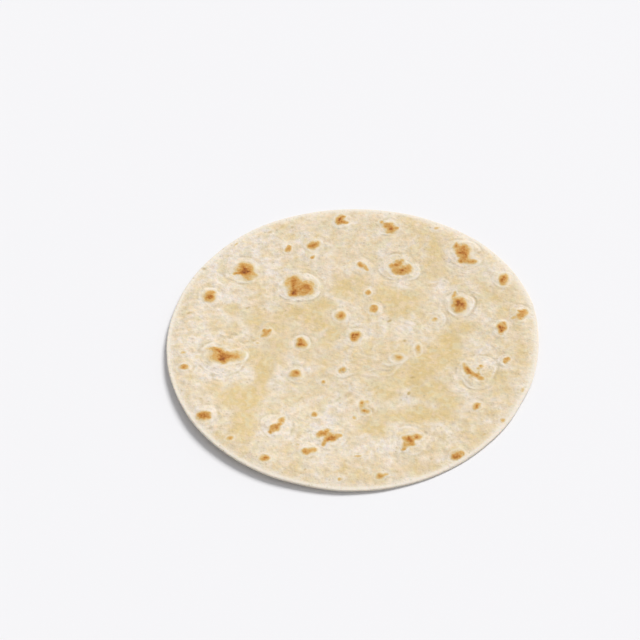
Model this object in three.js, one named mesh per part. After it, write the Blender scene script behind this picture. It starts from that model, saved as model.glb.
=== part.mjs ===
// A wheat-flour tortilla: one thin, soft round of baked dough, lying on a flat surface.
//
// Millimetres, +Z up. The origin is the middle of the round, on the surface that it lies on.
// The dough was pressed and baked as one piece, so the part is one closed solid: a sheet of
// nearly even thickness that thins towards a rounded edge. Its middle lies flat, and the rim
// has risen a little on two opposite sides, as a soft sheet's does once it has cooled.

import * as THREE from "three";

// ---- driving dimensions ----

const diameter = 200; // the mean across the round, of the size sold as 8 inch
const thickness = 2.0; // the sheet, away from its edge
const edgeThickness = 1.4; // the sheet at its rounded edge
const edgeTaper = 8; // how far in from the edge the sheet has its full thickness
const flatRadius = 45; // the middle, which touches the surface all over

// How the outline leaves a true circle. Each wave has a number of lobes round the edge, a height
// as a share of the radius, and the direction of its first crest in degrees from +X towards +Y.
const outlineWaves = [
  { lobes: 2, height: 0.016, crest: 48 },
  { lobes: 3, height: 0.008, crest: 15 },
  { lobes: 4, height: 0.005, crest: 31 },
];

const rimRise = 3.0; // the mean height of the two places where the rim has risen
const rimRiseDirection = 213; // the higher of the two, in degrees, with the other opposite
const rimRiseBias = 0.35; // how much higher than the mean the higher one is, as a share

// ---- how finely the faces follow the shape ----

const segments = 90; // round the sheet
const flatRings = 2; // across the flat middle
const rimRings = 6; // from the flat middle to the start of the taper
const taperRings = 3; // down the taper
const edgeSteps = 5; // round the half circle of the edge

const radius = diameter / 2;
const edgeRadius = edgeThickness / 2;
const taperStart = radius - edgeTaper;
const radians = THREE.MathUtils.degToRad;
const { lerp, smoothstep } = THREE.MathUtils;

// Evenly spaced distances from the middle, from one to just short of another.
function distancesBetween(from, to, steps) {
  return Array.from({ length: steps }, (_, i) => lerp(from, to, i / steps));
}

// The top of the flat sheet at a distance from its middle: level, then down to the thin edge.
function topHeight(distance) {
  return lerp(thickness, edgeThickness, smoothstep(distance, taperStart, radius - edgeRadius));
}

// The flat sheet's section, from the middle of its underside round the edge to the middle of its top.
function sectionPoints() {
  const distances = [
    ...distancesBetween(0, flatRadius, flatRings),
    ...distancesBetween(flatRadius, taperStart, rimRings),
    ...distancesBetween(taperStart, radius - edgeRadius, taperRings),
  ];
  const underside = distances.map((distance) => new THREE.Vector2(distance, 0));
  const edge = Array.from({ length: edgeSteps + 1 }, (_, i) => {
    const turn = Math.PI * (i / edgeSteps - 0.5);
    return new THREE.Vector2(
      radius - edgeRadius + edgeRadius * Math.cos(turn),
      edgeRadius + edgeRadius * Math.sin(turn),
    );
  });
  const top = distances.map((distance) => new THREE.Vector2(distance, topHeight(distance)));
  return [...underside, ...edge, ...top.reverse()];
}

// How far the outline stands from a true circle in one direction, as a factor on the distance.
function outlineFactor(angle) {
  return outlineWaves.reduce(
    (sum, { lobes, height, crest }) => sum + height * Math.cos(lobes * (angle - radians(crest))),
    1,
  );
}

// How high the sheet has risen from the surface at one place on it.
function riseAt(distance, angle) {
  const fromCrest = angle - radians(rimRiseDirection);
  const share = Math.cos(fromCrest) ** 2 * (1 + rimRiseBias * Math.cos(fromCrest));
  return rimRise * share * smoothstep(distance, flatRadius, radius);
}

// The flat round sheet, given its real outline and the rises of its rim.
function sheetGeometry() {
  const geometry = new THREE.LatheGeometry(sectionPoints(), segments);
  geometry.rotateX(Math.PI / 2); // from the lathe's axis, Y, to the sheet's, Z
  const position = geometry.attributes.position;
  for (let i = 0; i < position.count; i++) {
    const x = position.getX(i);
    const y = position.getY(i);
    const distance = Math.hypot(x, y);
    const angle = Math.atan2(y, x);
    const factor = outlineFactor(angle);
    position.setXYZ(i, x * factor, y * factor, position.getZ(i) + riseAt(distance, angle));
  }
  geometry.computeBoundingBox();
  const middle = geometry.boundingBox.getCenter(new THREE.Vector3());
  geometry.translate(-middle.x, -middle.y, 0);
  geometry.computeVertexNormals();
  return geometry;
}

const bakedDough = new THREE.MeshStandardMaterial({
  color: new THREE.Color(0.79, 0.65, 0.44),
  roughness: 0.8,
  metalness: 0,
});

const tortilla = new THREE.Mesh(sheetGeometry(), bakedDough);
tortilla.name = "tortilla";

const part = new THREE.Group();
part.add(tortilla);

export default part;
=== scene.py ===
# A wheat-flour tortilla: one soft round of baked dough with toasted blisters, lying on a pale table.
# Sizes are in millimetres where a name or note says so, and turned to metres as they reach a mesh.
import math
import random

import bmesh
import bpy
import numpy as np
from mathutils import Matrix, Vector, noise


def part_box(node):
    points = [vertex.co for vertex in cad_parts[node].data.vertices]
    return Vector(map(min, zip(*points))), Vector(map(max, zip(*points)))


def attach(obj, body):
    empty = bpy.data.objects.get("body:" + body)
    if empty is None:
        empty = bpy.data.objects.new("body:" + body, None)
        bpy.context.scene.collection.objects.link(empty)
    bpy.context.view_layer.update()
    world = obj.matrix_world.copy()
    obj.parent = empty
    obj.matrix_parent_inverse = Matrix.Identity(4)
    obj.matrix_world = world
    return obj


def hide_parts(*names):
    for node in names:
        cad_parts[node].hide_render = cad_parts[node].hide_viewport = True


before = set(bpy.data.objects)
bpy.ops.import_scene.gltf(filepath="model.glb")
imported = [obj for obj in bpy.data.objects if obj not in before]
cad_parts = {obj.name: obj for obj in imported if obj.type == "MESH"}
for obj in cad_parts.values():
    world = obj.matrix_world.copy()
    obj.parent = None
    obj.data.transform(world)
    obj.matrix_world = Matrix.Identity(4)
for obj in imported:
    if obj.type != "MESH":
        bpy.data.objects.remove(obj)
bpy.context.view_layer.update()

mm = 0.001


def fromScreen(red, green, blue):
    # a colour as a screen shows it, 0 to 255, made linear
    parts = [c / 255 for c in (red, green, blue)]
    return tuple(c / 12.92 if c < 0.04045 else ((c + 0.055) / 1.055) ** 2.4 for c in parts) + (1.0,)


def ease(value, low, high):
    # 0 below low, 1 above high, and a smooth step between
    share = np.clip((value - low) / (high - low), 0, 1)
    return share * share * (3 - 2 * share)


class Wire:
    # one output socket of a shader, with the arithmetic that adds its Math nodes
    def __init__(self, shader, socket):
        self.shader = shader
        self.socket = socket

    def calculate(self, operation, *values):
        sockets = dict(enumerate(values))
        return self.shader.add("ShaderNodeMath", {"operation": operation}, sockets)[0]

    def __add__(self, other):
        return self.calculate("ADD", self, other)

    def __sub__(self, other):
        return self.calculate("SUBTRACT", self, other)

    def __rsub__(self, other):
        return self.calculate("SUBTRACT", other, self)

    def __mul__(self, other):
        return self.calculate("MULTIPLY", self, other)

    __radd__ = __add__
    __rmul__ = __mul__

    def bell(self, width):
        # 1 where the value is 0, and almost 0 two widths away
        share = self * (1 / width)
        return self.calculate("EXPONENT", share * share * -1)


class Shader:
    # the node tree of one material
    def __init__(self, name):
        self.material = bpy.data.materials.new(name)
        self.material.use_nodes = True
        self.tree = self.material.node_tree
        self.tree.nodes.clear()

    def add(self, kind, settings=None, sockets=None):
        node = self.tree.nodes.new(kind)
        for key, value in (settings or {}).items():
            if key == "stops":
                self.setStops(node.color_ramp.elements, value)
            else:
                setattr(node, key, value)
        for key, value in (sockets or {}).items():
            if isinstance(value, Wire):
                self.tree.links.new(value.socket, node.inputs[key])
            else:
                node.inputs[key].default_value = value
        return [Wire(self, socket) for socket in node.outputs]

    def setStops(self, elements, stops):
        # a new ramp has two stops already
        for index, (position, colour) in enumerate(stops):
            stop = elements[index] if index < 2 else elements.new(position)
            stop.position = position
            stop.color = colour

    def step(self, value, low, high):
        settings = {"interpolation_type": "SMOOTHSTEP"}
        sockets = {"Value": value, "From Min": low, "From Max": high}
        return self.add("ShaderNodeMapRange", settings, sockets)[0]

    def ramp(self, value, *stops):
        return self.add("ShaderNodeValToRGB", {"stops": stops}, {"Fac": value})[0]

    def mix(self, share, first, second):
        # sockets 6 and 7 of a Mix node are its colours, and output 2 is the mixed colour
        return self.add("ShaderNodeMix", {"data_type": "RGBA"}, {0: share, 6: first, 7: second})[2]

    def moved(self, place, *by):
        # the same place in another part of a pattern, by so many metres
        return self.add("ShaderNodeMapping", {}, {"Vector": place, "Location": by})[0]

    def joined(self, x, y, z):
        return self.add("ShaderNodeCombineXYZ", {}, {"X": x, "Y": y, "Z": z})[0]

    def cloud(self, place, size, detail=2.0, roughness=0.5, distortion=0.0):
        # soft noise about 0, whose lumps are this many millimetres across
        sockets = {"Vector": place, "Scale": 1000 / size, "Detail": detail,
                   "Roughness": roughness, "Distortion": distortion}
        return self.add("ShaderNodeTexNoise", {}, sockets)[0] - 0.5

    def scaled(self, colour, by):
        return self.add("ShaderNodeVectorMath", {"operation": "SCALE"}, {0: colour, "Scale": by})[0]

    def dots(self, place, apart):
        # distance to scattered points, counted in the millimetres between them
        return self.add("ShaderNodeTexVoronoi", {}, {"Vector": place, "Scale": 1000 / apart})[0]

    def attribute(self, name):
        return self.add("ShaderNodeAttribute", {"attribute_name": name})[2]


studio = {
    "paper": fromScreen(239, 238, 239),
    "paperRoughness": 0.9,
    "tableReach": 12,  # metres, from its middle to each side
    "sky": (0.965, 0.975, 1.0, 1.0),
    "skyStrength": 0.46,
    "sunStrength": 2.65,
    "sunFrom": (0.55, 0.72, 1.0),  # from behind, on the right
    "sunWidth": 26,  # degrees, for a soft shadow
    "lens": 103.9,
    "nearest": 0.01,  # metres, from which the camera sees things
    "elevation": 48.25,  # degrees down to the tortilla
    "away": 1.0,  # metres
    "aim": (-17.7 * mm, 16.4 * mm, 0.0),
}


def layTable():
    bm = bmesh.new()
    bmesh.ops.create_grid(bm, x_segments=1, y_segments=1, size=studio["tableReach"])
    mesh = bpy.data.meshes.new("table")
    bm.to_mesh(mesh)
    bm.free()
    table = bpy.data.objects.new("table", mesh)
    bpy.context.collection.objects.link(table)
    paint = Shader("paleTable")
    looks = {"Base Color": studio["paper"], "Roughness": studio["paperRoughness"]}
    finish = paint.add("ShaderNodeBsdfPrincipled", {}, looks)
    paint.add("ShaderNodeOutputMaterial", {}, {"Surface": finish[0]})
    table.data.materials.append(paint.material)


def setLights():
    world = bpy.data.worlds.new("sky")
    world.use_nodes = True
    bpy.context.scene.world = world
    backdrop = world.node_tree.nodes["Background"]
    backdrop.inputs["Color"].default_value = studio["sky"]
    backdrop.inputs["Strength"].default_value = studio["skyStrength"]
    light = bpy.data.lights.new("window", "SUN")
    light.energy = studio["sunStrength"]
    light.angle = math.radians(studio["sunWidth"])
    window = bpy.data.objects.new("window", light)
    window.rotation_euler = Vector(studio["sunFrom"]).to_track_quat("Z", "Y").to_euler()
    bpy.context.collection.objects.link(window)


def setCamera():
    camera = bpy.data.objects.new("camera", bpy.data.cameras.new("camera"))
    camera.data.lens = studio["lens"]
    camera.data.clip_start = studio["nearest"]
    tilt = math.radians(studio["elevation"])
    back = Vector((0, -math.cos(tilt), math.sin(tilt)))
    camera.location = Vector(studio["aim"]) + back * studio["away"]
    camera.rotation_euler = back.to_track_quat("Z", "Y").to_euler()
    bpy.context.collection.objects.link(camera)
    bpy.context.scene.camera = camera
    bpy.context.scene.view_settings.view_transform = "Standard"


layTable()
setLights()
setCamera()
print("table, light and camera: done")

# Each blister is (x, y, ring, height), with the ring's radius and any arcs where its crease is sharp,
# as (direction, spread, depth) with degrees, and then its toasted spots. Each spot is
# (x, y, across, deep, heat) and, where it lies turned, by how many degrees. A heat of 0.3 is yellow,
# 0.5 golden and 0.8 brown, and spots that overlap grow darker.
topBlisters = [
    ((-29, 39, 11, 0.95, (266, 20, 0.7), (40, 25, 0.3)),
     (-32.5, 42.5, 8, 9, 0.5), (-32.3, 42.5, 2, 8, 0.6), (-25, 38.5, 7.5, 9.5, 0.5),
     (-25, 38.5, 6.5, 2.4, 0.55, -45), (-32.5, 34.5, 5, 5.5, 0.75), (-28, 34, 9, 3, 0.5),
     (-29, 38, 6, 5, 0.4), (-36, 42, 3.5, 6, 0.2)),
    ((-60, 51, 9.8, 0.6, (268, 20, 0.45), (95, 16, 0.3)),
     (-60, 52, 8.5, 9, 0.58), (-59.5, 50.2, 5.5, 5, 0.75), (-60.5, 55.5, 4, 3, 0.35),
     (-63.5, 48.8, 5, 2, 0.55, 5), (-55.5, 48.3, 5, 2.5, 0.45, -35), (-57.5, 45.3, 5, 3.5, 0.4)),
    ((-78.5, 31, 6.5, 0.7),
     (-78.3, 31.2, 6.2, 7.2, 0.55), (-78.5, 30, 5, 3, 0.55), (-77.5, 33.8, 4, 2.5, 0.3),
     (-79, 27.5, 6, 3, 0.2)),
    ((-69.5, -12.5, 13, 0.9, (5, 16, 0.55)),
     (-73.5, -8, 8, 3.5, 0.5, -12), (-71.3, -9.3, 4.5, 2.2, 0.45, -35), (-73, -13, 8.5, 7.5, 0.42),
     (-70.5, -12.5, 3, 7, 0.45, 12), (-69.6, -15.3, 3, 3.2, 0.9), (-65, -12.4, 10.5, 6, 0.58, 10),
     (-67.3, -13.3, 5, 2.6, 0.5, 20), (-69, -17.2, 3.5, 2.5, 0.5)),
    ((-90.5, -10.5, 3.5, 0.2), (-90.5, -10.7, 3.2, 2.2, 0.3)),
    ((-89.7, -21, 4, 0.3), (-89.7, -21, 4.6, 3.2, 0.58)),
    ((-47, 5, 5, 0.4),
     (-48.3, 6.7, 1.8, 2.2, 0.55), (-46.5, 5, 3.5, 3.2, 0.45), (-48, 3, 3.2, 2.6, 0.42),
     (-45, 6.8, 2.2, 2.2, 0.4), (-46, 5.5, 1.5, 1.5, 0.4)),
    ((-51.3, -2, 2.5, 0.1), (-51.3, -2, 2.6, 1.8, 0.25)),
    ((-28, -2, 5, 0.6),
     (-28, -1.7, 5.4, 6.3, 0.58), (-28, -3, 4.5, 2.6, 0.5), (-28, 0.3, 3.5, 1.8, 0.4)),
    ((-31, -24, 5.2, 0.55), (-31, -23.8, 5.6, 4.8, 0.58), (-31, -23.5, 4, 3, 0.35)),
    ((-7, 17.3, 5, 0.5, (200, 45, 0.3), (330, 30, 0.25)),
     (-7, 17.5, 4.6, 5.6, 0.5), (-6.7, 17, 2.6, 2.4, 0.4)),
    ((11.3, 22.5, 4.8, 0.45, (20, 45, 0.5)),
     (11.3, 22.6, 4, 4.6, 0.5), (11, 24.3, 2.5, 1.2, 0.4), (11.5, 20.8, 2, 2, 0.2)),
    ((0.5, 2.2, 6.8, 0.7, (235, 40, 0.3)),
     (1, 3.2, 5.5, 6, 0.55), (2.2, 4, 2.2, 5, 0.5, -20), (-0.5, 2.5, 2.2, 4, 0.5, -10),
     (0, 0, 2.5, 2.5, 0.4)),
    ((-5, -12.5, 12, 0.1, (264, 24, 0.9)),),
    ((-6, -21, 4, 0.3), (-6.3, -21, 3.4, 4.2, 0.4, -30), (-6, -20.8, 2, 2, 0.25)),
    ((-16.3, -29, 3, 0.25), (-16.3, -29, 2.4, 2.6, 0.45)),
    ((-36, 68.3, 4, 0.4), (-35.6, 68.6, 2.4, 4, 0.6), (-36.2, 67, 3, 4, 0.3, 30)),
    ((-21.5, 71, 5.8, 0.55), (-21.6, 70.8, 6, 5, 0.58, 45), (-22.3, 70, 3.5, 3, 0.35)),
    ((-21.8, 61.5, 2.5, 0.15), (-21.8, 61.7, 2.2, 2.2, 0.5)),
    ((-6, 90, 5.5, 0.45),
     (-6.5, 91, 4, 6.5, 0.7, -10), (-4.8, 93, 2, 3, 0.4, -15), (-5.8, 88.3, 6.5, 2.8, 0.6),
     (-3.3, 88.3, 2.5, 2, 0.3)),
    ((21, 84, 5.4, 0.65, (268, 28, 0.55)),
     (21.5, 84.2, 7.5, 5.2, 0.58, -32), (22.3, 82.5, 3.5, 2.5, 0.5), (25.3, 83.8, 2, 1.8, 0.4),
     (19.3, 86, 3, 2, 0.3), (16.5, 87.8, 2.2, 3, 0.35), (21.5, 80.2, 6, 2.2, 0.25)),
    ((47.7, 83, 3.5, 0.2), (47.8, 83, 3.8, 2, 0.35, 15)),
    ((5.5, 54.5, 6.2, 0.5),
     (4.5, 54.7, 3.6, 4, 0.5), (4.4, 55, 1.8, 2, 0.45), (7, 54, 2.6, 4, 0.4, 15),
     (8.2, 52, 2, 1.8, 0.35), (3.8, 57.3, 2.2, 2, 0.25)),
    ((26.5, 53, 10.5, 0.9, (175, 22, 0.2), (320, 30, 0.25)),
     (26.5, 57.5, 4.5, 4, 0.55), (25, 55.2, 3, 2.5, 0.5), (22.5, 54, 4.5, 5, 0.45),
     (23.5, 50.8, 3.5, 3, 0.5), (28, 51, 5, 3, 0.65), (31.5, 52.5, 4.5, 5, 0.5),
     (27, 53, 6, 5, 0.2), (26.5, 48.8, 8, 3, 0.42)),
    ((61.5, 62, 11.5, 0.8),
     (61.8, 66, 7.4, 7.8, 0.56), (58.2, 69.3, 2.2, 4.5, 0.6, -15), (62.5, 68.5, 4.5, 1.4, 0.5),
     (61, 63.3, 4, 3, 0.6), (63.7, 65, 2.5, 5, 0.35), (59.2, 64, 3, 5, 0.4),
     (59, 60.6, 1.6, 1.4, 0.5), (63.6, 58, 7, 5.5, 0.35), (62.8, 59, 4, 5, 0.4),
     (60.8, 56.8, 1.6, 2.2, 0.6),
     (60.3, 57.5, 3, 4, 0.3), (66.6, 56.2, 4, 3.2, 0.55, 15), (62.5, 61, 3, 3, 0.35)),
    ((83, 43, 6, 0.55, (235, 25, 0.15)),
     (83, 43, 4.4, 6.5, 0.6), (83.5, 44.3, 3, 2.2, 0.45), (82.5, 42, 2.4, 2.4, 0.35),
     (82.6, 39.6, 2.6, 2.5, 0.3), (85, 46.5, 2, 2.5, 0.25)),
    ((58, 25.5, 8, 0.95, (225, 35, 0.65), (15, 35, 0.5)),
     (58, 25.5, 7.6, 9, 0.58), (57.3, 27, 4.5, 1.6, 0.75, -48), (59.8, 25, 2.6, 2.2, 0.6),
     (57, 24.3, 3.5, 3, 0.6), (59.8, 22.5, 2.6, 1.4, 0.5, -50), (59.5, 28.5, 3, 3, 0.3),
     (57, 21, 4, 2.5, 0.4), (55.6, 33, 2.2, 4.5, 0.4, -10), (54.3, 25, 2, 2.5, 0.3)),
    ((90.5, 17, 6.5, 0.5),
     (90.2, 16, 4, 4, 0.58), (90, 16, 2.5, 1.6, 0.4), (92.5, 19, 4, 4.5, 0.48),
     (90.8, 20.2, 2.8, 1, 0.45, -10), (93, 20, 1.6, 2.6, 0.4, 20), (89.8, 13.8, 3, 1.6, 0.4),
     (86.6, 15, 2.2, 2, 0.3)),
    ((79.5, 8, 6, 0.6, (250, 25, 0.3)),
     (79.6, 8, 4.4, 7.5, 0.55, -12), (79, 8.3, 1.8, 4, 0.6), (80.5, 7, 1.6, 4, 0.4, -15),
     (81.2, 11, 2, 3, 0.3), (79, 4.5, 2.4, 2.6, 0.3)),
    ((44, 15, 6, 0.45), (44, 14.8, 3.6, 3, 0.28), (44.3, 15, 1.6, 1.4, 0.2)),
    ((8.3, 34.5, 4.2, 0.35), (8.3, 34.6, 2.6, 3.2, 0.6)),
    ((34.3, -6, 4, 0.25), (34.3, -6, 3.5, 6, 0.4)),
    ((23, -12, 4.5, 0.2), (23.3, -12.6, 5.6, 4.6, 0.33), (24, -12.5, 3, 2.2, 0.22)),
    ((64.5, -22, 10.5, 0.7, (230, 24, 0.7), (15, 28, 0.4)),
     (59, -19.5, 2.6, 6, 0.55, 10), (60.4, -22.6, 6, 2.6, 0.6, -50), (60.8, -23.5, 2.4, 1.8, 0.5),
     (63.3, -24.4, 3, 1.6, 0.35), (65, -25, 2.8, 2, 0.65), (66.8, -27, 3.4, 2.4, 0.5, -25),
     (67, -19.2, 2.6, 2.2, 0.4), (67, -19, 1.1, 1.1, 0.4), (65.5, -20.5, 3, 1.6, 0.25),
     (66, -23, 1.6, 3, 0.25), (61, -26.5, 3, 2, 0.2)),
    ((81, -14.5, 4, 0.35),
     (81.3, -14, 2.8, 3.6, 0.5, -35), (81.5, -13.6, 1.6, 1.6, 0.35), (80.3, -16, 2, 2.4, 0.35)),
    ((63.3, -45.7, 4.5, 0.35),
     (63.3, -45.7, 3.2, 3.6, 0.7, -30), (62.5, -47.3, 2, 2, 0.3), (65.3, -44, 1.8, 1.2, 0.25, 40)),
    ((4.5, -46, 6, 0.4),
     (3.8, -43.9, 3.4, 5, 0.36), (3.6, -43.5, 1.3, 2, 0.2), (4.8, -48.8, 4, 2.8, 0.42),
     (4.7, -48.7, 1.5, 1.2, 0.25), (6.8, -49, 2.6, 2, 0.25), (2.8, -46.3, 1.6, 2.5, 0.2),
     (7.2, -42, 2.6, 3, 0.28)),
    ((0, -52.8, 2.5, 0.15), (0, -52.8, 3, 2.6, 0.3)),
    ((28.5, -68, 8.5, 0.7),
     (27.5, -67, 4.5, 3.6, 0.7), (27.3, -66.5, 2.4, 2, 0.4), (32, -65.5, 4, 3.6, 0.6),
     (31.5, -66.3, 2.5, 1.8, 0.5), (28.3, -69.3, 3, 4, 0.6), (28.5, -71.3, 4, 1.8, 0.55),
     (25.3, -71, 3.5, 3.5, 0.35), (24.5, -73.8, 3.5, 1.8, 0.4, 25), (24.5, -67, 2, 3, 0.25)),
    ((1, -78.5, 3, 0.2), (1, -78.6, 3, 1.6, 0.4)),
    ((-78, -54.5, 7, 0.65),
     (-78, -54.5, 6.3, 5.4, 0.6, -10), (-79.3, -55.3, 2.6, 2.4, 0.45), (-77, -54.5, 2.6, 2, 0.5),
     (-79, -53, 3.5, 2, 0.3), (-75.2, -55.2, 2, 1.8, 0.35)),
    ((-40.5, -59.5, 7.5, 0.6),
     (-38.2, -56.2, 3.4, 4.6, 0.5, -30), (-39, -58.6, 1.6, 2.2, 0.55, -25),
     (-40.3, -61, 3.4, 3.6, 0.75), (-42.7, -62.3, 3, 4, 0.5, -20), (-43, -60.3, 2.4, 2, 0.45),
     (-43.8, -64, 1.8, 1.6, 0.45)),
    ((-13, -66, 8, 0.7),
     (-17.7, -64.2, 3.4, 4.4, 0.6, -35), (-14.3, -61.8, 3.4, 2.4, 0.5, 25),
     (-14.8, -64, 4, 3, 0.4), (-11.8, -67, 5, 4, 0.72), (-11.3, -68, 3, 2, 0.3),
     (-14.3, -68, 4, 3, 0.4, 40),
     (-8.7, -65.2, 3.6, 2.4, 0.45, -10), (-16.2, -71, 2, 4, 0.45, -20)),
    ((-24, -76, 5.5, 0.4),
     (-25.8, -76.5, 3.6, 4, 0.55, 20), (-25.5, -78, 1.8, 1.6, 0.3),
     (-22.2, -75.3, 5.4, 3.4, 0.48, 15)),
    ((-29.8, -72, 2.5, 0.1), (-29.8, -72, 2.4, 1.8, 0.28)),
    ((-20.9, -51, 3.2, 0.2), (-20.8, -51, 3.2, 3.6, 0.5, -35), (-21, -51.4, 1.6, 1.8, 0.3)),
    ((20, -7.5, 10, 0.35, (258, 20, 0.9)),),
    ((8, -6, 20, 0.05, (272, 22, 0.4)),),
    ((-65, 72, 3, 0.15), (-65, 72.3, 4.5, 1.4, 0.28, 45)),
    # along the front
    ((52, -78, 7, 0.55),
     (52, -78, 6, 5.5, 0.55), (50.8, -78.6, 3, 2.6, 0.5), (54, -76.5, 3, 2.4, 0.4, 30)),
    ((77, -55, 4.5, 0.3), (77, -55, 3.8, 3.2, 0.5), (76.4, -55.3, 1.8, 1.6, 0.35)),
    ((13, -91, 4.5, 0.3), (12, -91, 3.6, 3, 0.5), (15, -90, 2.4, 2, 0.35)),
    ((-46, -81, 5, 0.4), (-46, -81, 4.4, 3.8, 0.55), (-45.4, -81.4, 2.4, 2, 0.35)),
    ((-8, -93, 3, 0.15), (-8, -93, 2.4, 1.8, 0.35)),
    ((89, -35, 5, 0.35), (89, -35, 3.4, 4.6, 0.5), (89.2, -35.8, 1.8, 2, 0.3)),
    ((-64, -69, 3.5, 0.2), (-64, -69, 3, 2.4, 0.4)),
]

# Lone flecks of bran, with no blister under them: (x, y, across, deep, strength).
flecks = [
    (-73, -26, 3.6, 2.8, 0.35), (19.5, 14, 1.8, 1.8, 0.7), (27.2, 0, 2.2, 1.8, 0.7),
    (28.5, -37, 1.8, 2, 0.9), (30.5, -26, 2, 1.8, 0.7), (12, -36, 1.4, 2, 0.5), (-57, 23.2, 2, 2, 0.6),
    (-63, 4, 1.5, 1.5, 0.5), (-88.5, 18.8, 2.2, 2.2, 0.5), (-82, 53, 2.8, 2.2, 0.6),
    (-46, 81, 2.4, 2, 0.55), (-34, 85, 2, 2, 0.5), (24, -41.5, 1.4, 1.4, 0.5), (-8, -40, 2, 2, 0.4),
    (-3, -37.8, 5.4, 4, 0.45), (-9, -41, 3, 2, 0.3), (47, 82, 2, 1.4, 0.5), (71, 64, 2, 2, 0.5),
    (-28, -40, 1.6, 1.6, 0.4), (44, -60, 1.6, 1.6, 0.5), (-55, -28, 1.4, 1.4, 0.5),
    (38, -80, 1.8, 1.8, 0.6), (66, -64, 1.6, 1.6, 0.6), (-26, -88, 1.8, 1.8, 0.6),
    (94, -10, 1.6, 1.6, 0.5), (9, -47.5, 2.6, 2.6, 0.5), (9.2, -48, 2, 3, 0.5), (-53, 0, 3, 1.6, 0.5),
    (57, -37, 1.4, 1.4, 0.4), (-80.5, -9.5, 7, 4.5, 0.35), (-76, -17.5, 6, 4.5, 0.3),
    (-74, -25, 5, 3.5, 0.3),
]

# Where the dough is thin and damp it is yellower: (x, y, across, deep, strength). Below 0 it is drier.
thinPatches = [
    (24.5, -5, 4.5, 9, 0.75),
    (-60, -40, 21, 15, 0.95), (-69, -36, 12, 11, 0.7), (-58, -57, 11, 22, 0.85), (-56, -45, 10, 7, 1.0),
    (-48, -25, 10, 22, 1.0), (-50, -12, 13, 14, 0.75), (-48, 2, 11, 13, 0.55), (-40, 12, 12, 10, 0.6),
    (24, 31, 23, 12, 1.0), (33, 22, 13, 9, 0.9), (22, 24, 9, 11, 0.75), (-4, 41, 8, 15, 0.75),
    (5, 43, 8, 9, 0.65), (13.5, 57, 6, 13, 0.55), (47, 65, 7, 18, 1.0), (45, 52, 12, 13, 0.65),
    (38, 42, 9, 9, 0.5), (-12, 5, 9, 17, 0.8), (-16, 25, 13, 9, 0.95), (-20, 15, 13, 11, 0.7),
    (-36, 19, 15, 9, 0.8), (-66, 22.5, 9, 6, 0.85), (-53, 13, 9, 13, 0.7), (-70, 9, 12, 8, 0.45),
    (52, -3, 16, 19, 1.0), (45, -13, 15, 13, 0.95), (34, -22, 20, 11, 0.85), (24, -28, 14, 9, 0.75),
    (58, 12, 9, 14, 0.8), (74, 32, 9, 17, 0.7), (81, 20, 8, 10, 0.5), (68, 45, 7, 10, 0.5),
    (41, -34, 15, 10, 0.85), (48, -42, 11, 13, 0.85), (37, -51, 22, 11, 1.0), (20, -52, 18, 9, 0.75),
    (9, -60, 13, 8, 0.7), (17, -41, 9, 12, 0.6), (12, -33, 10, 12, 0.5), (77, -32, 11, 12, 0.7),
    (89, -12, 7, 16, 0.55), (86, 4, 7, 13, 0.5), (-78, -77, 14, 8, 0.5), (34, -86, 26, 7, 0.5),
    (68, -70, 12, 12, 0.6), (28, 73, 10, 6, 0.3), (-25, 55, 8, 6, 0.3),
    (-43, -3, 10, 18, 0.6), (-37, 9, 14, 12, 0.55), (-18, -8, 26, 16, 0.35), (-20, -28, 24, 14, 0.3),
    (17, -71, 22, 13, -0.35), (47, -65, 18, 11, -0.3), (28, -44, 10, 8, -0.15), (72, 22, 10, 9, -0.3),
    (34, 9, 16, 9, -0.12), (-45, 73, 40, 24, -0.3), (-72, 58, 20, 22, -0.3), (-71, 36, 22, 14, -0.25),
    (-42, 53, 18, 14, -0.25), (-85, 2, 24, 34, -0.3), (46, 38, 13, 12, -0.3), (72, -8, 18, 18, -0.3),
    (-26, -58, 32, 18, -0.15), (-76, -27, 16, 14, -0.2), (5, 74, 16, 10, -0.15),
    (-66, -24, 22, 10, -0.2), (-61, 4, 14, 12, -0.25), (86, 55, 12, 14, -0.2), (66, 78, 12, 8, -0.2),
]

# The same for the underside, whose blisters are scattered.
underside = {
    "blisters": 54,
    "seed": 11,
    "within": 92,  # millimetres of the middle
    "overlap": 5,  # millimetres that one ring may run over the next
    "ring": (3, 10),
    "height": 0.18,
    "fewestSpots": 2,
    "ringPerSpot": 2.5,  # a wider ring has one more spot for each of these
    "spotAcross": (0.3, 0.8),  # of the ring
    "spotDeep": (0.5, 1.0),  # of what it is across
    "spotOff": (-0.4, 0.4),  # of the ring, away from its middle
    "spotHeat": (0.4, 0.7),
}


def scatterSpot(dice, x, y, ring):
    across = ring * dice.uniform(*underside["spotAcross"])
    spotX = x + dice.uniform(*underside["spotOff"]) * ring
    spotY = y + dice.uniform(*underside["spotOff"]) * ring
    deep = across * dice.uniform(*underside["spotDeep"])
    heat = dice.uniform(*underside["spotHeat"])
    return spotX, spotY, across, deep, heat, dice.uniform(0, 180)


def scatterUnderside():
    # the side that lay on the griddle first has flatter blisters, spread evenly
    dice = random.Random(underside["seed"])
    blisters = []
    while len(blisters) < underside["blisters"]:
        ring = dice.triangular(*underside["ring"], underside["ring"][0])
        turn = dice.uniform(0, math.tau)
        out = underside["within"] * math.sqrt(dice.random())
        x, y = out * math.cos(turn), out * math.sin(turn)
        gaps = [math.hypot(x - b[0][0], y - b[0][1]) - ring - b[0][2] for b in blisters]
        if min(gaps, default=0) < -underside["overlap"]:
            continue
        count = underside["fewestSpots"] + int(ring / underside["ringPerSpot"])
        spots = [scatterSpot(dice, x, y, ring) for _ in range(count)]
        blisters.append(((x, y, ring, underside["height"]), *spots))
    return blisters


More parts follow.
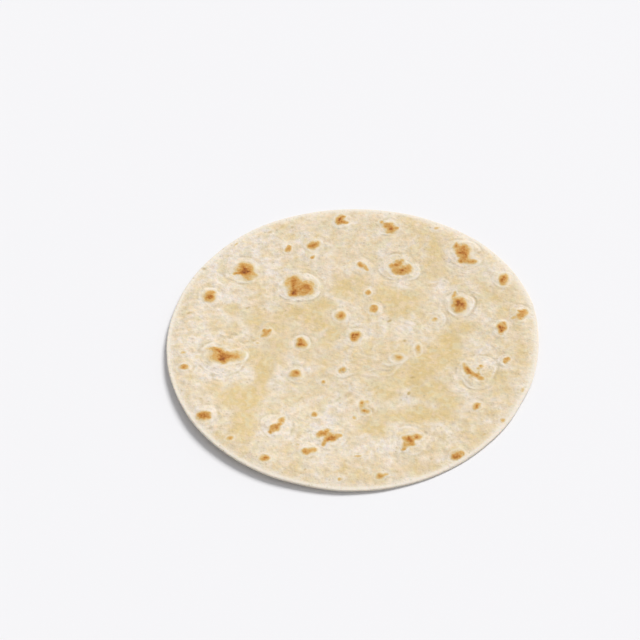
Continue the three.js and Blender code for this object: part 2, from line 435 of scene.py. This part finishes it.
sheet = {
    "cells": 270,  # of mesh across the top
    "underCells": 90,  # and across the underside
    "underShare": 0.985,  # of the way out to the rim, where the underside's cells end
    "edgeRings": 6,  # of mesh round the edge
    "topSeed": 3,
    "underSeed": 5,
    "radius": 100.0,
    "waves": [(2, 0.016, 48), (3, 0.008, 15), (4, 0.005, 31)],  # lobes, height, crest in degrees
    "nibble": 0.45,  # how unevenly the edge runs
    "nibbleSeed": 4.2,
    "middle": (0.67, -0.62),  # of the outline's box, from which the blisters are placed
    "flat": 45.0,  # radius of the level middle
    "rise": 2.55,  # of the rim, on two sides
    "riseTowards": 213,
    "riseBias": 0.33,
    "under": 0.18,  # the underside's level, with its blisters reaching down to 0
    "top": 1.95,  # the top's level
    "edge": 1.25,  # thickness at the edge
    "taper": 8.0,  # over which the sheet thins to its edge
    "sunk": 0.12,  # how much lower a thin patch lies
    "clear": 0.15,  # kept inside the CAD box
    "drop": 50,  # the underside is joined on from this far below, so that the joining can't turn over
    "unevenness": [(21, 0.2), (7, 0.2), (2.6, 0.1)],  # size and height
    "unevenSeed": 7.7,
    "dome": 0.75,  # height of the tallest blister
    "lobes": [(2, 0.07), (3, 0.05)],  # of a blister's ring, and how high they are as a share of it
    "ringWander": 0.09,
    "grooveOut": 0.9,  # from the ring to the crease round it
    "grooveWidth": 0.9,
    "grooveDepth": 0.1,
    "reach": (4, 0.3),  # of the wrinkles: this far from every ring, and this share of the ring more
    "ripple": 2.9,  # from one wrinkle to the next
    "rippleHeight": 0.03,
    "underRipple": 0.4,  # how strong the wrinkles are underneath
    "noRing": 20.0,  # kept as the distance to a ring where none is near
    "spotWander": 1.0,  # how far a toasted spot strays from a plain oval
    "patchWander": 5.0,  # and a thin patch
    "wanderSize": (9, 3.5),  # of the bends of rings and patches, and of spots
    "brokenSize": 6,  # of the stretches where the wrinkles fade out
}


def lumps(x, y, size, seed):
    # soft noise about 0, one value for each point
    return np.array([noise.noise((a / size, b / size, seed)) for a, b in zip(x, y)])


def outline(turn):
    radius = 1 + sum(h * np.cos(n * (turn - math.radians(c))) for n, h, c in sheet["waves"])
    nibble = sheet["nibble"] * lumps(np.cos(turn), np.sin(turn), 0.18, sheet["nibbleSeed"])
    return sheet["radius"] * radius + nibble


def rise(share, turn):
    # how far the sheet has lifted off the table, at a share of the way to the edge
    towards = turn - math.radians(sheet["riseTowards"])
    lift = sheet["rise"] * np.cos(towards) ** 2 * (1 + sheet["riseBias"] * np.cos(towards))
    return lift * ease(share * sheet["radius"], sheet["flat"], sheet["radius"])


def heatAt(x, y, spot):
    # flat in the middle of the spot, and falling off steeply at its edge
    spotX, spotY, across, deep, heat, *turned = spot
    turn = math.radians(turned[0] if turned else 0)
    along = (x - spotX) * math.cos(turn) + (y - spotY) * math.sin(turn)
    aside = (y - spotY) * math.cos(turn) - (x - spotX) * math.sin(turn)
    away = (2 * along / across) ** 2 + (2 * aside / deep) ** 2
    return heat * np.exp(-0.87 * away ** 1.12)


class Bake:
    # what the griddle did to a set of points on one side of the sheet
    def __init__(self, x, y, seed):
        self.x = x
        self.y = y
        self.dice = random.Random(seed)
        self.cool = np.ones(len(x))  # 1 where it is untoasted, and 0 where it is burnt
        self.dome = np.zeros(len(x))  # the blisters' height
        self.groove = np.zeros(len(x))  # depth of the creases round them
        self.thin = np.zeros(len(x))  # up to 1, and below 0 where it is dry
        self.fromRing = np.full(len(x), sheet["noRing"])  # out from the nearest ring
        self.wrinkled = np.zeros(len(x))  # 0 to 1, and so are the next two
        self.sharp = np.zeros(len(x))
        self.flecked = np.zeros(len(x))
        # slow unevenness, stretches where the wrinkles fade out, and places bent a little
        broad, narrow = sheet["wanderSize"]
        self.wander = lumps(x, y, broad, seed + 0.5)
        self.broken = np.clip(0.45 + 1.4 * lumps(x, y, sheet["brokenSize"], seed + 0.9), 0, 1)
        self.bentX = x + sheet["patchWander"] * self.wander
        self.bentY = y + sheet["patchWander"] * lumps(x, y, broad, seed + 2.1)
        self.strayX = x + sheet["spotWander"] * lumps(x, y, narrow, seed + 1.3)
        self.strayY = y + sheet["spotWander"] * lumps(x, y, narrow, seed + 1.7)

    def addBlisters(self, blisters):
        for blister, *spots in blisters:
            self.blister(*blister)
            for spot in spots:
                self.spot(*spot)

    def blister(self, atX, atY, ring, height, *arcs):
        dx, dy = self.x - atX, self.y - atY
        turn = np.arctan2(dy, dx)
        bent = 1
        for lobes, share in sheet["lobes"]:
            bent = bent + share * np.sin(lobes * turn + self.dice.uniform(0, math.tau))
        # how far each point lies outside the ring, or inside it where this is below 0
        out = np.hypot(dx, dy) - ring * bent * (1 + sheet["ringWander"] * self.wander)
        strength = min(1, 1.2 * height ** 1.2)
        least, share = sheet["reach"]
        near = np.exp(-(out / (least + share * ring)) ** 2)
        sharp = np.zeros(len(turn))
        for direction, spread, depth in arcs:
            aside = 1 - np.cos(turn - math.radians(direction))
            sharp += depth * near * np.exp(-aside / (1 - math.cos(math.radians(spread))))
        # a dome that rises steeply at its ring, and then gently to its middle
        crown = 0.25 * ease(-out, -0.3, 2.2) + 0.75 * ease(-out, 0, 0.85 * ring)
        self.dome = np.maximum(self.dome, sheet["dome"] * height * crown)
        crease = np.exp(-((out - sheet["grooveOut"]) / sheet["grooveWidth"]) ** 2)
        self.groove += sheet["grooveDepth"] * (strength * self.broken + sharp) * crease
        self.wrinkled = np.maximum(self.wrinkled, strength * near)
        self.sharp = np.maximum(self.sharp, sharp)
        self.fromRing = np.where(np.abs(out) < np.abs(self.fromRing), out, self.fromRing)

    def spot(self, *spot):
        self.cool *= 1 - heatAt(self.strayX, self.strayY, spot)

    def fleck(self, *fleck):
        self.flecked = np.maximum(self.flecked, heatAt(self.strayX, self.strayY, fleck))

    def patch(self, atX, atY, across, deep, strength):
        away = ((self.bentX - atX) * 2 / across) ** 2 + ((self.bentY - atY) * 2 / deep) ** 2
        share = strength * np.exp(-0.45 * away ** 1.7)
        # thin patches run into each other, and a dry one takes away from what is there
        self.thin = np.maximum(self.thin, share) if strength > 0 else self.thin + share

    def ripples(self):
        waves = np.sin(math.tau * self.fromRing / sheet["ripple"] + 3 * self.wander)
        return sheet["rippleHeight"] * self.wrinkled * self.broken * waves


def pressRound(verts):
    # a square grid of points, each square ring of it turned into a round one
    for vert in verts:
        x, y = vert.co.x, vert.co.y
        if abs(x) > abs(y):
            out, turn = x, math.pi / 4 * y / x
        elif y:
            out, turn = y, math.pi / 2 - math.pi / 4 * x / y
        else:
            out, turn = 0, 0
        vert.co = (out * math.cos(turn), out * math.sin(turn), 0)


def rollOut(verts):
    # the unit round stretched to the real outline: x, y in millimetres, share of the way out, direction
    x = np.array([v.co.x for v in verts])
    y = np.array([v.co.y for v in verts])
    share, turn = np.hypot(x, y), np.arctan2(y, x)
    # the last stretch to the edge is left for the rounded rim
    out = share * (outline(turn) - sheet["edge"] / 2)
    return out * np.cos(turn), out * np.sin(turn), share, turn


def setPlaces(verts, x, y, z):
    for vert, a, b, c in zip(verts, x, y, z):
        vert.co = (a * mm, b * mm, c * mm)


# what the dough's finish reads at each point of the mesh
bakeLayers = ("toast", "thin", "fromRing", "wrinkled", "sharp", "flecked", "fromEdge")


def keepBake(bm, verts, bake, fromEdge):
    toast = (1 - bake.cool) * ease(fromEdge, 0.5, 3)
    kept = (toast, bake.thin, bake.fromRing, bake.wrinkled, bake.sharp, bake.flecked, fromEdge)
    for name, values in zip(bakeLayers, kept):
        layer = bm.verts.layers.float[name]
        for vert, value in zip(verts, values):
            vert[layer] = value


def bakeTop(bm):
    cells = sheet["cells"]
    verts = bmesh.ops.create_grid(bm, x_segments=cells, y_segments=cells, size=1)["verts"]
    pressRound(verts)
    x, y, share, turn = rollOut(verts)
    bake = Bake(x - sheet["middle"][0], y - sheet["middle"][1], sheet["topSeed"])
    bake.addBlisters(topBlisters)
    for fleck in flecks:
        bake.fleck(*fleck)
    for patch in thinPatches:
        bake.patch(*patch)
    fromEdge = (1 - share) * sheet["radius"]
    inland = ease(fromEdge, 0, 5)  # nothing swells or sinks right at the edge
    skin = sum(h * lumps(x, y, size, sheet["unevenSeed"] + size) for size, h in sheet["unevenness"])
    thinning = (sheet["top"] - sheet["under"] - sheet["edge"]) * (1 - ease(fromEdge, 0, sheet["taper"]))
    z = sheet["top"] - thinning + rise(share, turn)
    z += inland * (skin + bake.dome - bake.groove + bake.ripples() - sheet["sunk"] * bake.thin)
    setPlaces(verts, x, y, z)
    keepBake(bm, verts, bake, fromEdge)


def roundEdge(bm):
    # the rim's rounded edge, drawn out ring by ring from the top's border
    border = [e for e in bm.edges if e.is_boundary]
    fromRing = bm.verts.layers.float["fromRing"]
    for ring in range(1, sheet["edgeRings"] + 1):
        made = bmesh.ops.extrude_edge_only(bm, edges=border)["geom"]
        border = [g for g in made if isinstance(g, bmesh.types.BMEdge) and g.is_boundary]
        verts = [g for g in made if isinstance(g, bmesh.types.BMVert)]
        slope = math.pi * (0.5 - ring / sheet["edgeRings"])
        turn = np.arctan2([v.co.y for v in verts], [v.co.x for v in verts])
        out = outline(turn) + sheet["edge"] / 2 * (math.cos(slope) - 1)
        z = sheet["under"] + sheet["edge"] / 2 * (1 + math.sin(slope)) + rise(1, turn)
        setPlaces(verts, out * np.cos(turn), out * np.sin(turn), z)
        for vert in verts:
            vert[fromRing] = sheet["noRing"]
    return border


def makeUnderside(bm):
    cells = sheet["underCells"]
    made = bmesh.ops.create_grid(bm, x_segments=cells, y_segments=cells, size=1)["verts"]
    pressRound(made)
    for vert in made:
        vert.co *= sheet["underShare"]
    x, y, share, turn = rollOut(made)
    bake = Bake(x, y, sheet["underSeed"])
    bake.addBlisters(scatterUnderside())
    fromEdge = (1 - share) * sheet["radius"]
    # blisters swell downwards here
    swelling = bake.dome + sheet["underRipple"] * bake.ripples()
    z = sheet["under"] + rise(share, turn) - ease(fromEdge, 2, 7) * swelling
    setPlaces(made, x, y, z - sheet["drop"])
    keepBake(bm, made, bake, fromEdge)
    # its border takes as many points as the top's, so that the two can be joined
    cuts = sheet["cells"] // cells - 1
    grid = set(made)
    border = [e for e in bm.edges if e.is_boundary and e.verts[0] in grid]
    split = bmesh.ops.subdivide_edges(bm, edges=border, cuts=cuts)["geom_split"]
    return [g for g in split if isinstance(g, bmesh.types.BMEdge) and g.is_boundary]


def fitToFrame(bm):
    # the finished sheet goes just inside the CAD model's box, and stands on its floor
    low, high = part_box("tortilla")
    clear = sheet["clear"] * mm
    for axis in range(2):
        values = [v.co[axis] for v in bm.verts]
        scale = (high[axis] - low[axis] - 2 * clear) / (max(values) - min(values))
        middle = (max(values) + min(values)) / 2
        wanted = (high[axis] + low[axis]) / 2
        for vert in bm.verts:
            vert.co[axis] = (vert.co[axis] - middle) * scale + wanted
    floor = min(v.co.z for v in bm.verts)
    for vert in bm.verts:
        vert.co.z += low.z - floor


def bakeTortilla(material):
    bm = bmesh.new()
    for name in bakeLayers:
        bm.verts.layers.float.new(name)
    bakeTop(bm)
    print("top: done")
    edgeBorder = roundEdge(bm)
    underBorder = makeUnderside(bm)
    bmesh.ops.bridge_loops(bm, edges=edgeBorder + underBorder)
    under = [v for v in bm.verts if v.co.z < -sheet["drop"] * mm / 2]
    bmesh.ops.translate(bm, verts=under, vec=(0, 0, sheet["drop"] * mm))
    print("edge and underside: done")
    fitToFrame(bm)
    bmesh.ops.recalc_face_normals(bm, faces=bm.faces)
    for face in bm.faces:
        face.smooth = True
    mesh = bpy.data.meshes.new("baked_tortilla")
    bm.to_mesh(mesh)
    bm.free()
    tortilla = bpy.data.objects.new("baked_tortilla", mesh)
    bpy.context.collection.objects.link(tortilla)
    mesh.materials.append(material)
    return tortilla


dough = {
    "dry": fromScreen(231, 220, 207),  # untoasted dough, from dry to damp
    "pale": fromScreen(228, 214, 193),
    "plain": fromScreen(224, 207, 178),
    "yellow": fromScreen(220, 199, 161),
    "damp": fromScreen(217, 194, 146),
    "ochre": fromScreen(214, 188, 134),
    "pink": fromScreen(229, 206, 179),  # what it leans to in places
    "olive": fromScreen(219, 208, 175),
    # pale flour, also used for the painted highlight on blister lips and on the rim
    "flour": fromScreen(238, 228, 212),
    # greyish tan for bran and dry specks, also used for the painted shade in blister creases
    "specksAndCreaseShade": fromScreen(192, 174, 138),
    "bran": fromScreen(176, 146, 78),
    "straw": fromScreen(214, 193, 139),  # toast, from the faintest to the darkest
    "amber": fromScreen(214, 182, 121),
    "gold": fromScreen(209, 166, 97),
    "orange": fromScreen(200, 145, 70),
    "russet": fromScreen(183, 119, 36),
    "brown": fromScreen(160, 90, 16),
    "char": fromScreen(128, 66, 10),
    "broadSize": 26,  # of the patterns, in millimetres
    "blotchSize": 6,
    "hueSize": 4.5,
    "grainSize": 2.8,
    "raggedSize": 1.8,
    "fineSize": 0.9,
    "branApart": 3.1,
    "specksApart": 1.5,
    "moisture": 0.41,  # from 0, dry, to 1, damp, where there is no patch
    "bump": 0.9,
    "specular": 0.35,
    "softness": 0.12,  # how much light goes through the dough
    "softDepth": 0.8,  # and how far, in millimetres
    "softTint": (1.0, 0.6, 0.35),
}


def rawColour(paint, moist, hue, shade):
    # dough from dry and pale, near the blisters, to thin, damp and yellow between them
    colour = paint.ramp(moist, (0.0, dough["dry"]), (0.2, dough["pale"]), (0.4, dough["plain"]),
                        (0.6, dough["yellow"]), (0.8, dough["damp"]), (1.0, dough["ochre"]))
    colour = paint.mix(paint.step(hue, 0.03, 0.2) * 0.4, colour, dough["pink"])
    colour = paint.mix(paint.step(hue, -0.03, -0.2) * 0.5, colour, dough["olive"])
    return paint.scaled(colour, 1 + shade)


def toastColour(paint, colour, toast, heat):
    # palest just outside each mark, and darkest where the spots overlap
    halo = toast.bell(0.1) * paint.step(toast, 0.008, 0.04)
    colour = paint.mix(halo * 0.45, colour, dough["flour"])
    toasted = paint.ramp(heat, (0.08, dough["straw"]), (0.24, dough["amber"]), (0.4, dough["gold"]),
                         (0.6, dough["orange"]), (0.76, dough["russet"]), (0.89, dough["brown"]),
                         (1.0, dough["char"]))
    return paint.mix(paint.step(heat, 0.02, 0.36), colour, toasted)


def doughFinish():
    paint = Shader("bakedDough")
    place = paint.add("ShaderNodeTexCoord")[3]  # the Object coordinates
    toast, thin, fromRing, wrinkled, sharp, flecked, fromEdge = map(paint.attribute, bakeLayers)

    broad = paint.cloud(place, dough["broadSize"], 3)
    blotch = paint.cloud(place, dough["blotchSize"], 2, 0.6, 0.4)
    grain = paint.cloud(place, dough["grainSize"], 3, 0.6)
    fine = paint.cloud(place, dough["fineSize"], 2, 0.6)
    hue = paint.cloud(paint.moved(place, 0.3, 0.1, 0), dough["hueSize"], 1)
    ragged = paint.cloud(paint.moved(place, 0.1, 0.4, 0), dough["raggedSize"], 3, 0.6, 0.6)

    # streaks and wrinkles that bend round the blisters: these places are stretched so that a lump of
    # the noise is 1 long
    x, y = paint.add("ShaderNodeSeparateXYZ", {}, {0: place})[:2]
    around = paint.joined(x * 180, y * 180, fromRing * 0.45)
    streak = paint.cloud(around, 1000, 3, 0.6)
    far = paint.joined(x * 110 + 40, y * 110, fromRing * 0.2)
    breaks = paint.step(paint.cloud(far, 1000, 1), -0.04, 0.15)
    warped = fromRing + blotch * 1.5
    creased = wrinkled * (breaks * 0.75 + 0.14) + sharp * 0.9
    # masks along each ring's raised lip and along the crease outside it, for the bump and for a painted
    # highlight and painted shade
    lip = (warped + 0.3).bell(0.8) * creased
    crease = (warped - 1.1).bell(0.75) * creased
    bent = streak * wrinkled

    # the dough before it is toasted
    moist = dough["moisture"] + thin * 0.54 + blotch * (1.45 - thin * 0.9)
    moist = moist + broad * 0.7 + grain * 0.16 - wrinkled * 0.1
    shade = fine * 0.14 + grain * (0.56 - thin * 0.24) + streak * 0.1 + bent * 0.3
    colour = rawColour(paint, moist, hue, shade)
    # the raised lip painted paler: partly floury dough, partly a painted highlight
    colour = paint.mix(lip * 0.75, colour, dough["flour"])
    # painted shade in the crease round each ring, darker where its arcs are sharp
    colour = paint.mix(crease * 0.55, colour, dough["specksAndCreaseShade"])

    # the edge of the sheet is painted paler: partly dry, floury dough and partly a painted highlight
    # where the rim catches the light
    flouryEdgeAndHighlight = paint.step(fromEdge + ragged * 3, 4.5, 0.6) * 0.5 + paint.step(fromEdge, 2.2, 0.6) * 0.4
    colour = paint.mix(flouryEdgeAndHighlight, colour, dough["flour"])

    # flecks of bran, large and small, and finer dry specks in places
    bran = paint.step(flecked + ragged * 0.5 * flecked, 0.04, 0.7)
    colour = paint.mix(bran * 0.7, colour, dough["bran"])
    smallBran = paint.step(paint.dots(place, dough["branApart"]) + grain * 0.6, 0.16, 0.06)
    specks = paint.step(paint.dots(place, dough["specksApart"]) + fine * 0.4, 0.3, 0.1)
    speckled = paint.step(hue + broad, 0.02, 0.2)
    colour = paint.mix(smallBran * 0.5 + specks * speckled * 0.3, colour, dough["specksAndCreaseShade"])

    # toast, uneven wherever it is more than faint
    heat = toast * 1.07 + (ragged * 0.8 + grain * 0.7 + fine * 0.6) * paint.step(toast, 0.03, 0.5)
    colour = toastColour(paint, colour, toast, heat)

    height = (grain * 0.6 + fine * 0.12) * (1 - thin * 0.4) + bent * 0.5 + lip * 0.14 - crease * 0.14
    sockets = {"Strength": dough["bump"], "Distance": mm, "Height": height}
    bump = paint.add("ShaderNodeBump", {}, sockets)[0]

    # toast and damp dough are a little glossier
    rough = 0.8 - thin * 0.14 - paint.step(heat, 0.2, 0.6) * 0.12 + grain * 0.2
    finish = paint.add("ShaderNodeBsdfPrincipled", {}, {
        "Base Color": colour, "Roughness": rough, "Normal": bump,
        "Specular IOR Level": dough["specular"], "Subsurface Weight": dough["softness"],
        "Subsurface Scale": dough["softDepth"] * mm, "Subsurface Radius": dough["softTint"]})
    paint.add("ShaderNodeOutputMaterial", {}, {"Surface": finish[0]})
    return paint.material


tortilla = bakeTortilla(doughFinish())
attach(tortilla, "root")
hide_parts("tortilla")
print("tortilla:", len(tortilla.data.polygons), "faces")
